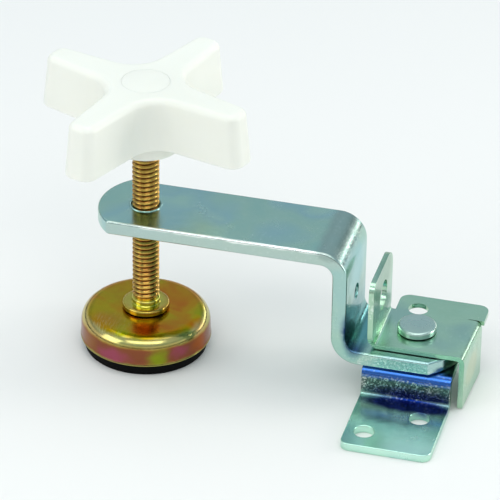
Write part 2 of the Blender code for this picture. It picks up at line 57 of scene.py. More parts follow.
LOWER_BEND_INNER = 1.0 * MM
LOWER_EDGE = 0.22 * MM              # rounding of the sheared edges
WALL_FRONT = 13.7 * MM
SCREW_HOLE = 2.95 * MM              # this and the other hole sizes are radii
BASE_HOLES = ((-7.5 * MM, -5.35 * MM), (6.2 * MM, 5.25 * MM))
PIVOT = Vector((0.0, 27.0 * MM, 0.0))
PIVOT_HOLE = 3.8 * MM


def arc(centre, radius, start, end, steps):
    """Points of an arc in a plane, with its angles in degrees."""
    angles = [math.radians(start + (end - start) * step / steps) for step in range(steps + 1)]
    return [(centre[0] + radius * math.cos(a), centre[1] + radius * math.sin(a)) for a in angles]


def bend_path(corners, radius, steps=12):
    """A path through the corners of a folded sheet, with each corner rounded."""
    path = [corners[0]]
    for before, corner, after in zip(corners, corners[1:], corners[2:]):
        here = Vector(corner)
        back = (Vector(before) - here).normalized()
        ahead = (Vector(after) - here).normalized()
        half = back.angle(ahead) / 2.0
        hub = here + (back + ahead).normalized() * (radius / math.sin(half))
        first = here + back * (radius / math.tan(half)) - hub
        turn = first.angle_signed(here + ahead * (radius / math.tan(half)) - hub)
        for step in range(steps + 1):
            angle = -turn * step / steps
            spoke = Vector((first.x * math.cos(angle) - first.y * math.sin(angle),
                            first.x * math.sin(angle) + first.y * math.cos(angle)))
            path.append(tuple(hub + spoke))
    path.append(corners[-1])
    return path


def draw(name, points, closed=False):
    """Draw a line through points by extruding one vertex from each to the next."""
    bpy.ops.object.select_all(action="DESELECT")
    bpy.ops.mesh.primitive_plane_add(size=MM, location=points[0])
    piece = bpy.context.object
    piece.name = name
    piece.data.name = name
    bpy.ops.object.transform_apply(location=True, rotation=True, scale=True)
    bpy.ops.object.mode_set(mode="EDIT")
    bpy.ops.mesh.select_mode(type="VERT")
    bpy.ops.mesh.select_all(action="SELECT")
    bpy.ops.mesh.merge(type="CENTER")
    for here, there in zip(points, points[1:]):
        step = Vector(there) - Vector(here)
        bpy.ops.mesh.extrude_region_move(TRANSFORM_OT_translate={"value": step})
    bpy.ops.mesh.select_all(action="SELECT")
    if closed:
        bpy.ops.mesh.edge_face_add()
    return piece


def leave_edit():
    """Close a piece's seams, turn its faces outwards and leave edit mode."""
    bpy.ops.mesh.select_all(action="SELECT")
    bpy.ops.mesh.remove_doubles(threshold=1e-6)
    bpy.ops.mesh.normals_make_consistent(inside=False)
    bpy.ops.object.mode_set(mode="OBJECT")


def apply_modifier(piece, kind, **settings):
    """Add one modifier to a piece and apply it."""
    bpy.ops.object.select_all(action="DESELECT")
    piece.select_set(True)
    bpy.context.view_layer.objects.active = piece
    modifier = piece.modifiers.new(kind.lower(), kind)
    for setting, value in settings.items():
        setattr(modifier, setting, value)
    bpy.ops.object.modifier_apply(modifier=modifier.name)
    return piece


def fold(name, path, axis, low, high, sheet):
    """A folded sheet: its middle line drawn across axis, drawn out along it, then thickened."""
    if axis == "X":
        points = [(low, a, b) for a, b in path]
        along = (high - low, 0.0, 0.0)
    else:
        points = [(a, low, b) for a, b in path]
        along = (0.0, high - low, 0.0)
    piece = draw(name, points)
    bpy.ops.mesh.extrude_region_move(TRANSFORM_OT_translate={"value": along})
    leave_edit()
    return apply_modifier(piece, "SOLIDIFY", thickness=sheet, offset=0.0, use_even_offset=True)


def slab(name, outline, axis, low, high):
    """A flat outline drawn out along an axis, for trimming and for joining on."""
    place = {"X": lambda a, b: (low, a, b), "Z": lambda a, b: (a, b, low)}[axis]
    along = (high - low, 0.0, 0.0) if axis == "X" else (0.0, 0.0, high - low)
    piece = draw(name, [place(a, b) for a, b in outline], closed=True)
    bpy.ops.mesh.extrude_region_move(TRANSFORM_OT_translate={"value": along})
    leave_edit()
    return piece


def punch(centre, radius, depth, axis="Z"):
    """A round punch standing on its centre."""
    bpy.ops.object.select_all(action="DESELECT")
    turn = (0.0, math.pi / 2.0, 0.0) if axis == "X" else (0.0, 0.0, 0.0)
    bpy.ops.mesh.primitive_cylinder_add(vertices=64, radius=radius, depth=depth, location=centre,
                                        rotation=turn)
    return bpy.context.object


def combine(piece, tool, operation="DIFFERENCE"):
    """Cut, trim or join with one exact Boolean, and remove the tool."""
    apply_modifier(piece, "BOOLEAN", operation=operation, solver="EXACT", object=tool)
    bpy.data.objects.remove(tool, do_unlink=True)


def soften(piece, radius, segments=3, sharper_than=38.0, clamp=True):
    """Round off a piece's sheared edges, and keep its flat faces shading flat."""
    bpy.ops.object.select_all(action="DESELECT")
    piece.select_set(True)
    bpy.context.view_layer.objects.active = piece
    bpy.ops.object.mode_set(mode="EDIT")
    bpy.ops.mesh.select_all(action="SELECT")
    bpy.ops.mesh.remove_doubles(threshold=1e-6)
    bpy.ops.mesh.dissolve_limited(angle_limit=math.radians(0.3))
    bpy.ops.object.mode_set(mode="OBJECT")
    apply_modifier(piece, "BEVEL", width=radius, segments=segments, limit_method="ANGLE",
                   angle_limit=math.radians(sharper_than), miter_outer="MITER_ARC",
                   use_clamp_overlap=clamp)
    bpy.ops.object.shade_smooth_by_angle(angle=math.radians(40.0))
    apply_modifier(piece, "WEIGHTED_NORMAL", keep_sharp=True, weight=80)


def linear(hex_colour):
    """An sRGB hex colour as a linear colour with alpha."""
    channels = [int(hex_colour[i:i + 2], 16) / 255.0 for i in (1, 3, 5)]
    turned = [c / 12.92 if c <= 0.04045 else ((c + 0.055) / 1.055) ** 2.4 for c in channels]
    return (*turned, 1.0)


def add_node(tree, kind, links=(), **settings):
    """Add a shader node, set it, and link its inputs: (input, node, output)."""
    node = tree.nodes.new(kind)
    for setting, value in settings.items():
        if setting.startswith("in_"):
            node.inputs[int(setting[3:])].default_value = value
        else:
            setattr(node, setting, value)
    for socket, source, output in links:
        tree.links.new(source.outputs[output], node.inputs[socket])
    return node


def new_material(name):
    """A new material, with its node tree and its shader."""
    material = bpy.data.materials.new(name)
    material.use_nodes = True
    return material, material.node_tree, material.node_tree.nodes["Principled BSDF"]


def ramp(tree, source, stops, interpolation="LINEAR"):
    """A colour ramp over (position, hex colour) stops, fed by a node's first output."""
    node = add_node(tree, "ShaderNodeValToRGB", [("Fac", source, 0)])
    band = node.color_ramp
    band.interpolation = interpolation
    while len(band.elements) < len(stops):
        band.elements.new(0.5)
    for element, (position, colour) in zip(band.elements, stops):
        element.position = position
        element.color = linear(colour)
    return node


def drift(tree, place, reach):
    """Object coordinates wandering by up to reach, so that zones get uneven borders."""
    waver = add_node(tree, "ShaderNodeTexNoise", [("Vector", place, "Object")])
    waver.inputs["Scale"].default_value = 1.0 / (4 * MM)
    waver.inputs["Detail"].default_value = 2.0
    centred = add_node(tree, "ShaderNodeVectorMath", [(0, waver, "Color")], operation="SUBTRACT",
                       in_1=(0.5, 0.5, 0.5))
    return add_node(tree, "ShaderNodeVectorMath", [(0, centred, 0), (2, place, "Object")],
                    operation="MULTIPLY_ADD", in_1=(2.0 * reach, 2.0 * reach, 2.0 * reach))


def zone(tree, place, centre, radii, plateau=0.5):
    """A soft egg-shaped mask, from its millimetre centre and radii."""
    about = add_node(tree, "ShaderNodeMapping", [("Vector", place, 0)])
    about.inputs["Location"].default_value = [-c / r for c, r in zip(centre, radii)]
    about.inputs["Scale"].default_value = [1.0 / (r * MM) for r in radii]
    ball = add_node(tree, "ShaderNodeTexGradient", [("Vector", about, 0)],
                    gradient_type="SPHERICAL")
    return add_node(tree, "ShaderNodeMapRange", [("Value", ball, 1)],
                    interpolation_type="SMOOTHSTEP", in_1=0.0, in_2=plateau, in_3=0.0, in_4=1.0)


def lay_over(tree, under, output, mask, colour, strength=1.0):
    """Mix one more film colour over a colour, where a mask says."""
    amount = add_node(tree, "ShaderNodeMath", [(0, mask, 0)], operation="MULTIPLY",
                      in_1=strength)
    mixed = add_node(tree, "ShaderNodeMix", [("Factor", amount, 0), (6, under, output)],
                     data_type="RGBA")
    mixed.inputs[7].default_value = linear(colour)
    return mixed


def passivated_zinc(name, tints, roughness=(0.18, 0.28), speckle=0.2, tints_and_painted_light=(), stretched=()):
    """Electroplated zinc with a blue passivate.

    The thin film tints the bright metal blue and green in clouds some 20 mm
    across.  Pools of colour are laid over it: a few are the film's own tints,
    the others are painted reflections, painted shade and painted highlights,
    such as the deep blue painted into the bends.  Where the sheet was
    stretched its grain shows as bright specks.
    A pool is its centre and radii in mm, its colour and its strength,
    and a stretched place is the same without the colour.
    """
    material, tree, shader = new_material(name)
    place = add_node(tree, "ShaderNodeTexCoord")
    clouds = add_node(tree, "ShaderNodeTexNoise", [("Vector", place, "Object")])
    clouds.inputs["Scale"].default_value = 1.0 / (20 * MM)
    clouds.inputs["Detail"].default_value = 1.5
    clouds.inputs["Distortion"].default_value = 0.4
    tint = ramp(tree, clouds, [(0.3 + 0.4 * i / (len(tints) - 1), c) for i, c in enumerate(tints)])
    wandering = drift(tree, place, 0.7 * MM)
    colour, output = tint, "Color"
    for centre, radii, colouring, strength in tints_and_painted_light:
        pool = zone(tree, wandering, centre, radii)
        colour = lay_over(tree, colour, output, pool, colouring, strength)
        output = 2

    # plating grain, drawn at 0.45 mm so that it shows
    grain = add_node(tree, "ShaderNodeTexVoronoi", [("Vector", place, "Object")])
    grain.inputs["Scale"].default_value = 1.0 / (0.45 * MM)
    specks = add_node(tree, "ShaderNodeMapRange", [("Value", grain, "Color")],
                      in_1=0.8, in_2=1.0, in_3=0.0, in_4=speckle)
    coarse = None
    for centre, radii, strength in stretched:
        here = zone(tree, wandering, centre, radii)
        if coarse is None:
            coarse = here
        else:
            coarse = add_node(tree, "ShaderNodeMath", [(0, coarse, 0), (1, here, 0)],
                              operation="MAXIMUM")
        sparks = add_node(tree, "ShaderNodeMapRange", [("Value", grain, "Color")],
                          in_1=0.55, in_2=0.95, in_3=0.0, in_4=strength)
        both = add_node(tree, "ShaderNodeMath", [(0, here, 0), (1, sparks, 0)],
                        operation="MULTIPLY")
        specks = add_node(tree, "ShaderNodeMath", [(0, specks, 0), (1, both, 0)],
                          operation="MAXIMUM")
    colour = lay_over(tree, colour, output, specks, "#F4FAF6")
    tree.links.new(colour.outputs[2], shader.inputs["Base Color"])

    # handling marks and drying stains, 2 to 6 mm across
    stains = add_node(tree, "ShaderNodeTexNoise", [("Vector", place, "Object")])
    stains.inputs["Scale"].default_value = 1.0 / (5 * MM)
    stains.inputs["Detail"].default_value = 5.0
    rough = add_node(tree, "ShaderNodeMapRange", [("Value", stains, "Fac")],
                     in_1=0.35, in_2=0.7, in_3=roughness[0], in_4=roughness[1])
    tree.links.new(rough.outputs[0], shader.inputs["Roughness"])

    # rolled sheet is never quite flat: a slow wave, and the plating's fine pits
    wave = add_node(tree, "ShaderNodeTexNoise", [("Vector", place, "Object")])
    wave.inputs["Scale"].default_value = 1.0 / (9 * MM)
    wave.inputs["Detail"].default_value = 1.0
    slow = add_node(tree, "ShaderNodeBump", [("Height", wave, "Fac")])
    slow.inputs["Strength"].default_value = 0.06
    slow.inputs["Distance"].default_value = 0.25 * MM
    pits = add_node(tree, "ShaderNodeTexNoise", [("Vector", place, "Object")])
    pits.inputs["Scale"].default_value = 1.0 / (0.6 * MM)
    pits.inputs["Detail"].default_value = 3.0
    fine = add_node(tree, "ShaderNodeBump", [("Height", pits, "Fac"), ("Normal", slow, "Normal")])
    fine.inputs["Strength"].default_value = 0.12
    fine.inputs["Distance"].default_value = 0.05 * MM
    if coarse is not None:
        dents = add_node(tree, "ShaderNodeMath", [(0, coarse, 0), (1, grain, "Color")],
                         operation="MULTIPLY")
        fine = add_node(tree, "ShaderNodeBump", [("Height", dents, 0), ("Normal", fine, "Normal")])
        fine.inputs["Strength"].default_value = 0.5
        fine.inputs["Distance"].default_value = 0.06 * MM
    tree.links.new(fine.outputs["Normal"], shader.inputs["Normal"])
    shader.inputs["Metallic"].default_value = 1.0
    return material


def fit(piece, body, node, material):
    """Give a finished piece its material, and let it stand for the plain node it is fitted over."""
    piece.data.materials.clear()
    piece.data.materials.append(material)
    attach(piece, body)
    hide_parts(node)


low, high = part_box("lower_bracket")
half = LOWER_SHEET / 2.0
wall_y = WALL_FRONT + half
path = bend_path([(low.y - MM, low.z + half), (wall_y, low.z + half), (wall_y, high.z - half),
                  (high.y + MM, high.z - half)], LOWER_BEND_INNER + half)
lower_bracket = fold("lower_bracket_plate", path, "X", low.x - MM, high.x + MM, LOWER_SHEET)
inset = LOWER_CORNER
plan = arc((high.x - inset, high.y - inset), inset, 0.0, 90.0, 8)
plan += arc((low.x + inset, high.y - inset), inset, 90.0, 180.0, 8)
plan += arc((low.x + inset, low.y + inset), inset, 180.0, 270.0, 8)
plan += arc((high.x - inset, low.y + inset), inset, 270.0, 360.0, 8)
combine(lower_bracket, slab("blank", plan, "Z", low.z - MM, high.z + MM), "INTERSECT")
for hole in BASE_HOLES:
    combine(lower_bracket, punch((*hole, 0.0), SCREW_HOLE, 10 * MM))
combine(lower_bracket, punch((PIVOT.x, PIVOT.y, high.z), PIVOT_HOLE, 10 * MM))
soften(lower_bracket, LOWER_EDGE)
# the pools: a pale painted reflection on the plate's middle, a dark grey painted reflection on the lower
# wall, a blue painted reflection higher up the wall and a navy painted reflection on the back of the
# plate next to the wall
base_zinc = passivated_zinc(
    "blue_passivated_zinc_base", ["#96CCC0", "#A2D4C4", "#B4E0C8", "#9CCACC"],
    tints_and_painted_light=[((0, -6, 2.4), (24, 15, 4), "#CCF4E4", 0.9),
           ((0, 13.4, 6.0), (40, 2.6, 4.4), "#5E6E6A", 1.0),
           ((0, 14.6, 10.4), (40, 4.0, 3.0), "#2E62B8", 0.95),
           ((2, 11.0, 2.4), (19, 4.6, 3.0), "#082676", 1.0)],
    stretched=[((0, 13.0, 6.0), (40, 3.4, 4.0), 0.9)])
fit(lower_bracket, "bracket", "lower_bracket", base_zinc)

# Swing arm --------------------------------------------------------------------
# A 25.4 x 4.3 mm flat bar, bent into a Z.  The free end is cut to a shallow arc
# and threaded for the spindle; the other end's corners are clipped, so that it
# swings past the bracket's flange.  Blue-passivated zinc.
ARM_SHEET = 4.3 * MM
ARM_BEND_INNER = 3.7 * MM
ARM_END_RADIUS = 17.0 * MM
ARM_CLIP_START = 6.5 * MM
ARM_CLIP = 3.0 * MM
ARM_ROWS = 36                      # rows of faces across the bar's width
ARM_EDGE = 0.7 * MM
ARM_HOLE = 4.25 * MM
BURR = 0.36 * MM
BURR_LOWERED = 0.06 * MM           # the burr's centre is this far inside the bar
LOCK_HOLE = Vector((-20.3 * MM, 27.0 * MM, 28.2 * MM))
LOCK_HOLE_RADIUS = 2.1 * MM


def join(pieces):
    """Join pieces into the first of them."""
    bpy.ops.object.select_all(action="DESELECT")
    for piece in pieces:
        piece.select_set(True)
    bpy.context.view_layer.objects.active = pieces[0]
    bpy.ops.object.join()


low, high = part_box("swing_arm")
half = ARM_SHEET / 2.0
spindle_low, spindle_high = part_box("spindle")
SPINDLE = (spindle_low + spindle_high) / 2.0
SPINDLE.z = 0.0
path = bend_path([(low.x, high.z - half), (LOCK_HOLE.x, high.z - half),
                  (LOCK_HOLE.x, low.z + half), (high.x, low.z + half)],
                 ARM_BEND_INNER + half, steps=20)
swing_arm = draw("swing_arm_bar", [(a, low.y, b) for a, b in path])
row_width = (high.y - low.y) / ARM_ROWS
for row in range(ARM_ROWS):
    bpy.ops.mesh.extrude_region_move(TRANSFORM_OT_translate={"value": (0.0, row_width, 0.0)})
leave_edit()
middle = (low.y + high.y) / 2.0
nose_half = (high.y - low.y) / 2.0 - ARM_CLIP
nose_radius = math.hypot(ARM_CLIP_START + ARM_CLIP, nose_half)
for vertex in swing_arm.data.vertices:
    across = abs(vertex.co.y - middle)
    if abs(vertex.co.x - low.x) < 1e-5:
        vertex.co.x = low.x + ARM_END_RADIUS - math.sqrt(ARM_END_RADIUS ** 2 - across ** 2)
    elif abs(vertex.co.x - high.x) < 1e-5:
        if across < nose_half:
            vertex.co.x = math.sqrt(nose_radius ** 2 - across ** 2)
        else:
            vertex.co.x = ARM_CLIP_START + ARM_CLIP - (across - nose_half)
apply_modifier(swing_arm, "SOLIDIFY", thickness=ARM_SHEET, offset=0.0, use_even_offset=True)
combine(swing_arm, punch((SPINDLE.x, SPINDLE.y, high.z), ARM_HOLE, 20 * MM))
combine(swing_arm, punch((PIVOT.x, PIVOT.y, low.z), PIVOT_HOLE, 20 * MM))
combine(swing_arm, punch(LOCK_HOLE, LOCK_HOLE_RADIUS, 10 * MM, "X"))
soften(swing_arm, ARM_EDGE, segments=4, clamp=False)
# the tap pushed up a thin burr round the spindle's hole
burr = draw("burr", [(SPINDLE.x + ARM_HOLE + r, SPINDLE.y, high.z + z) for r, z in
                     arc((BURR, -BURR_LOWERED), BURR, 0.0, 360.0, 12)])
bpy.ops.mesh.spin(steps=64, angle=math.tau, center=(SPINDLE.x, SPINDLE.y, 0.0), axis=(0, 0, 1))
leave_edit()
bpy.ops.object.shade_smooth()
join([swing_arm, burr])
# the pools: the front edge's own grey tone, a painted highlight along the front top edge, a teal and a
# darker painted reflection on the riser's face, a greyer painted reflection where the top turns into the
# bend, and a navy painted reflection low on the riser by its front edge
arm_zinc = passivated_zinc(
    "blue_passivated_zinc_arm", ["#A0C8BE", "#AACCBE", "#A2C6C6", "#AED0C4"],
    tints_and_painted_light=[((-58, 13.5, 45), (60, 1.0, 5), "#B8C8C2", 0.7),
           ((-50, 13.7, 47.2), (50, 0.9, 0.9), "#F2F8F4", 0.95),
           ((-15.5, 27, 36), (5, 19, 11), "#8CCACC", 0.9),
           ((-15.5, 27, 20), (5, 20, 13), "#5A9CA0", 0.9),
           ((-23, 26, 47), (6, 60, 3), "#9AAEA8", 0.8),
           ((-15.2, 14.5, 22), (5.2, 8, 9), "#0C2A70", 1.0)],
    stretched=[((-18.6, 26, 45.8), (3.4, 40, 3.4), 0.8), ((-4, 13.5, 13.0), (16, 3, 3.5), 0.7)])
fit(swing_arm, "arm", "swing_arm", arm_zinc)

# Upper bracket ----------------------------------------------------------------
# A 1.5 mm sheet folded up at one side into the tab, which holds the locking
# screw, and down at the other into the flange.  A flat strip with a screw hole
# stands out behind.  Blue-passivated zinc.
UPPER_SHEET = 1.5 * MM
UPPER_FRONT_Y = 16.6 * MM
UPPER_REAR_Y = 37.0 * MM
TAB_FACE_X = -10.2 * MM
TAB_FRONT_Y = 13.9 * MM
TAB_REAR_Y = 38.2 * MM
FLANGE_FACE_X = 16.3 * MM
FLANGE_SPLAY = 0.9 * MM            # the flange's rear edge stands out further
UPPER_BOTTOM = 16.25 * MM
UPPER_TOP = UPPER_BOTTOM + UPPER_SHEET
STRIP_SPAN = (-8.6 * MM, 17.7 * MM)
STRIP_HOLE = (-2.2 * MM, 38.8 * MM, UPPER_TOP)
STRIP_STEP = 0.03 * MM             # the strip is this much thinner on each face
UPPER_BEND_INNER = 1.0 * MM
UPPER_EDGE = 0.2 * MM
TAB_REAR_CORNER = 6.0 * MM
TAB_FRONT_CORNER = 3.0 * MM
STRIP_CORNER = 3.0 * MM
RELIEF = 3.2 * MM                  # from the flange's face to the cut beside its fold
TAB_HOLE = 4.5 * MM

low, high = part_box("upper_bracket")
half = UPPER_SHEET / 2.0
flange_x = FLANGE_FACE_X - half
path = bend_path([(TAB_FACE_X - half, high.z + 2 * MM), (TAB_FACE_X - half, UPPER_BOTTOM + half),
                  (flange_x, UPPER_BOTTOM + half), (flange_x, low.z)],
                 UPPER_BEND_INNER + half)
upper_bracket = fold("upper_bracket_plate", path, "Y", TAB_FRONT_Y - 2 * MM, TAB_REAR_Y + 2 * MM,
                     UPPER_SHEET)
fold_start = flange_x - UPPER_BEND_INNER - half - 0.1 * MM
for vertex in upper_bracket.data.vertices:
    if vertex.co.x > fold_start:
        along = (vertex.co.y - UPPER_FRONT_Y) / (UPPER_REAR_Y - UPPER_FRONT_Y)
        vertex.co.x += FLANGE_SPLAY * along
side_view = [(UPPER_REAR_Y, low.z - MM), (UPPER_REAR_Y, UPPER_TOP + 0.6 * MM),
             (TAB_REAR_Y, UPPER_TOP + 1.4 * MM)]
side_view += arc((TAB_REAR_Y - TAB_REAR_CORNER, high.z - TAB_REAR_CORNER), TAB_REAR_CORNER,
                 0.0, 90.0, 14)
side_view += arc((TAB_FRONT_Y + TAB_FRONT_CORNER, high.z - TAB_FRONT_CORNER), TAB_FRONT_CORNER,
                 90.0, 180.0, 10)
side_view += [(TAB_FRONT_Y, UPPER_TOP + 4.2 * MM), (TAB_FRONT_Y + 0.7 * MM, UPPER_TOP + 1.8 * MM),
              (UPPER_FRONT_Y, UPPER_TOP - 0.2 * MM), (UPPER_FRONT_Y, low.z - MM)]
combine(upper_bracket, slab("trim", side_view, "X", -20 * MM, 25 * MM), "INTERSECT")
relief_x = FLANGE_FACE_X - RELIEF
strip = [(STRIP_SPAN[0], UPPER_REAR_Y - 0.6 * MM), (relief_x, UPPER_REAR_Y - 0.6 * MM),
         (relief_x, UPPER_REAR_Y + 0.3 * MM), (STRIP_SPAN[1], UPPER_REAR_Y + 0.3 * MM)]
strip += arc((STRIP_SPAN[1] - STRIP_CORNER, high.y - STRIP_CORNER), STRIP_CORNER, 0.0, 90.0, 10)
strip += arc((STRIP_SPAN[0] + STRIP_CORNER, high.y - STRIP_CORNER), STRIP_CORNER, 90.0, 180.0, 10)
rear_strip = slab("strip", strip, "Z", UPPER_BOTTOM + STRIP_STEP, UPPER_TOP - STRIP_STEP)
combine(upper_bracket, rear_strip, "UNION")
combine(upper_bracket, punch((PIVOT.x, PIVOT.y, UPPER_TOP), PIVOT_HOLE, 8 * MM))
combine(upper_bracket, punch(STRIP_HOLE, SCREW_HOLE, 8 * MM))
combine(upper_bracket, punch((TAB_FACE_X, LOCK_HOLE.y, LOCK_HOLE.z), TAB_HOLE, 8 * MM, "X"))
soften(upper_bracket, UPPER_EDGE)
# the pools: a yellow film tint on the flange, a darker painted reflection on the tab's upper part and a
# mint painted highlight at the tab's foot
bracket_zinc = passivated_zinc(
    "blue_passivated_zinc_bracket", ["#A0C8B0", "#ACD0B6", "#B2D4BA", "#A4C6B8"],
    tints_and_painted_light=[((16.3, 26, 9), (3, 9, 6), "#CDD2AC", 0.6),
           ((-9.5, 26, 34), (4, 15, 8), "#86AC94", 0.8),
           ((-9.0, 22, 20.5), (4, 9, 5), "#CCF6D8", 0.8)],
    stretched=[((-11, 13.9, 31), (3, 2.5, 5), 0.9)])
fit(upper_bracket, "bracket", "upper_bracket", bracket_zinc)

# Rivet and washer ---------------------------------------------------------------
# A flat-headed steel rivet, 7 mm in the shank, goes down through both brackets
# and the arm, and its tail is formed over a plain washer.  Zinc plated.
RIVET_SHANK = 3.5 * MM
RIVET_HEAD_DEPTH = 2.1 * MM
RIVET_HEAD_EDGE = 0.75 * MM
RIVET_TAIL_DEPTH = 1.9 * MM
WASHER_EDGE = 0.12 * MM


def turn_on(name, profile, centre, steps=96):
    """Turn a (radius, height) profile that ends on the axis, or is closed, about an axis."""
    piece = draw(name, [(centre.x + r, centre.y, z) for r, z in profile])
    bpy.ops.mesh.spin(steps=steps, angle=math.tau, center=(centre.x, centre.y, 0.0), axis=(0, 0, 1))
    leave_edit()
    bpy.ops.object.shade_smooth_by_angle(angle=math.radians(35.0))
    return piece


def washer_profile(inner, outer, low_z, high_z, edge):
    """Profile of a ring with its outer edges chamfered."""
    return [(inner, low_z), (outer - edge, low_z), (outer, low_z + edge), (outer, high_z - edge),
            (outer - edge, high_z), (inner, high_z), (inner, low_z)]


low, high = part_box("pivot_rivet")
head = high.x - PIVOT.x
head_bottom = high.z - RIVET_HEAD_DEPTH
tail_top = low.z + RIVET_TAIL_DEPTH
profile = [(0.0, high.z - 0.06 * MM), (head - 1.6 * MM, high.z - 0.02 * MM),
           (head - RIVET_HEAD_EDGE, high.z)]
profile += arc((head - RIVET_HEAD_EDGE, high.z - RIVET_HEAD_EDGE), RIVET_HEAD_EDGE, 80.0, 0.0, 7)
profile += [(head, head_bottom + 0.25 * MM), (head - 0.25 * MM, head_bottom),
            (RIVET_SHANK, head_bottom), (RIVET_SHANK, tail_top), (5.4 * MM, tail_top),
            (5.3 * MM, tail_top - 0.6 * MM)]
profile += arc((3.8 * MM, low.z + 1.2 * MM), 1.2 * MM, -10.0, -90.0, 6) + [(0.0, low.z)]
rivet = turn_on("pivot_rivet_formed", profile, PIVOT)
rivet_zinc = passivated_zinc("zinc_plated_rivet", ["#ACC6BC", "#B6D0C4", "#B0C6C2"],
                             roughness=(0.24, 0.36), speckle=0.1)
fit(rivet, "bracket", "pivot_rivet", rivet_zinc)

low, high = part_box("pivot_washer")
washer = turn_on("pivot_washer_plain",
                 washer_profile(PIVOT_HOLE, high.x, low.z, high.z, WASHER_EDGE), PIVOT)
plain_steel, tree, shader = new_material("oiled_mild_steel")
# bare mild steel under a film of oil: grey, with faint turning marks
place = add_node(tree, "ShaderNodeTexCoord")
marks = add_node(tree, "ShaderNodeTexNoise", [("Vector", place, "Object")])
marks.inputs["Scale"].default_value = 1.0 / (0.8 * MM)
greys = ramp(tree, marks, [(0.3, "#9A9A96"), (0.7, "#C2C2BC")])
tree.links.new(greys.outputs[0], shader.inputs["Base Color"])
shader.inputs["Metallic"].default_value = 1.0
shader.inputs["Roughness"].default_value = 0.38
fit(washer, "bracket", "pivot_washer", plain_steel)

# Foot cup -----------------------------------------------------------------------
# Pressed from 1.5 mm steel with a round shoulder.  Its zinc plate has a yellow
# chromate, whose film shifts from olive through gold to red and green where it
# is thicker.  A washer inside holds the cup on the spindle.
CUP_SHEET = 1.5 * MM
CUP_SHOULDER = 4.2 * MM
CUP_WALL = 19.0 * MM
CUP_FLAT = 12.0 * MM
SHANK_HOLE = 3.5 * MM


def yellow_chromate(name, films, film_size, roughness, tints_and_painted_highlights=()):
    """Zinc with a yellow chromate film, in clouds of uneven thickness.

    Its colour runs from olive through gold and brown to pink and green.
    Patches are written as a zinc finish's pools are; they are film tints and painted highlights.
    """
    material, tree, shader = new_material(name)
    place = add_node(tree, "ShaderNodeTexCoord")
    cloud = add_node(tree, "ShaderNodeTexNoise", [("Vector", place, "Object")])
    cloud.inputs["Scale"].default_value = 1.0 / film_size
    cloud.inputs["Detail"].default_value = 2.5
    cloud.inputs["Distortion"].default_value = 0.5
    colour, output = ramp(tree, cloud, films, "EASE"), "Color"
    wandering = drift(tree, place, 1.2 * MM)
    for centre, radii, colouring, strength in tints_and_painted_highlights:
        patch = zone(tree, wandering, centre, radii, 0.8)
        colour = lay_over(tree, colour, output, patch, colouring, strength)
        output = 2
    tree.links.new(colour.outputs[output], shader.inputs["Base Color"])
    scuffs = add_node(tree, "ShaderNodeTexNoise", [("Vector", place, "Object")])
    scuffs.inputs["Scale"].default_value = 1.0 / (2.2 * MM)
    scuffs.inputs["Detail"].default_value = 6.0
    rough = add_node(tree, "ShaderNodeMapRange", [("Value", scuffs, "Fac")],
                     in_1=0.35, in_2=0.7, in_3=roughness[0], in_4=roughness[1])
    tree.links.new(rough.outputs[0], shader.inputs["Roughness"])
    bump = add_node(tree, "ShaderNodeBump", [("Height", scuffs, "Fac")])
    bump.inputs["Strength"].default_value = 0.08
    bump.inputs["Distance"].default_value = 0.05 * MM
    tree.links.new(bump.outputs[0], shader.inputs["Normal"])
    shader.inputs["Metallic"].default_value = 1.0
    return material, tree, shader


low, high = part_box("foot_cup")
rim = (high.x - low.x) / 2.0
shoulder = (CUP_WALL - CUP_SHOULDER, high.z - CUP_SHOULDER)
profile = [(SHANK_HOLE, high.z), (CUP_FLAT, high.z)]
profile += arc(shoulder, CUP_SHOULDER, 90.0, 0.0, 20)
profile += [(CUP_WALL + 0.08 * MM, low.z + 1.6 * MM)]
profile += arc((rim - 0.3 * MM, low.z + 0.35 * MM), 0.3 * MM, 40.0, -40.0, 5)
profile += [(rim - 0.5 * MM, low.z), (rim - CUP_SHEET, low.z), (CUP_WALL - CUP_SHEET, low.z + MM)]
profile += arc(shoulder, CUP_SHOULDER - CUP_SHEET, 0.0, 90.0, 12)
profile += [(SHANK_HOLE, high.z - CUP_SHEET), (SHANK_HOLE, high.z)]
foot_cup = turn_on("foot_cup_pressed", profile, SPINDLE, steps=128)
cup_chromate, tree, shader = yellow_chromate(
    "yellow_chromated_cup",
    [(0.32, "#9E9C0C"), (0.44, "#B4980A"), (0.54, "#BC860C"), (0.66, "#BC6C10")],
    13 * MM, (0.15, 0.26),
    tints_and_painted_highlights=[((-78.1, 14.0, 12.5), (6, 5, 3), "#C85A0C", 0.8),
             ((-90, 30, 12.5), (8, 8, 3), "#A69C10", 0.6),
             ((-90, 16, 12.5), (8, 6, 3), "#BC7C20", 0.7),
             ((-70, 18, 12.5), (6, 7, 3), "#B8741A", 0.6)])
